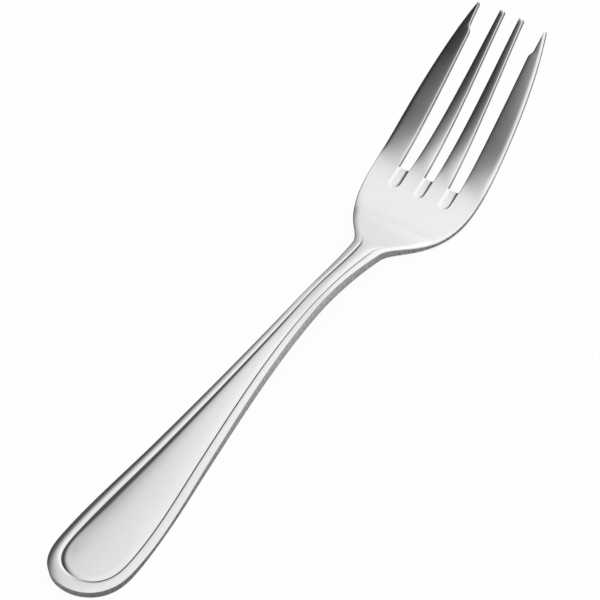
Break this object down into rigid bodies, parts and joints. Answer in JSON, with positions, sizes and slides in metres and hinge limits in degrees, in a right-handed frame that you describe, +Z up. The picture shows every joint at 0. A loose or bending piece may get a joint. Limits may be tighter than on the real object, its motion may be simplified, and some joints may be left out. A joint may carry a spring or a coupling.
{
  "type": "salad fork",
  "caption": "Solid stainless salad fork with a broad round-ended handle, a raised border and groove around a gently crowned panel, slim arched neck, shallow bowl and tapering tines with notched outer tips.",
  "frame": {"origin": "centre of the bounding box in plan, at the table plane that the back of the fork rests on", "axes": "+X across the fork to its right side seen from the front with the tines up, +Y along the fork from the handle end to the tips, +Z up from the table through the front face"},
  "size_m": [0.03, 0.1792, 0.025],
  "materials": {
    "steel": "polished stainless with a soft satin sheen"
  },
  "bodies": {
    "root": {"fork": "steel"}
  },
  "joints": []
}
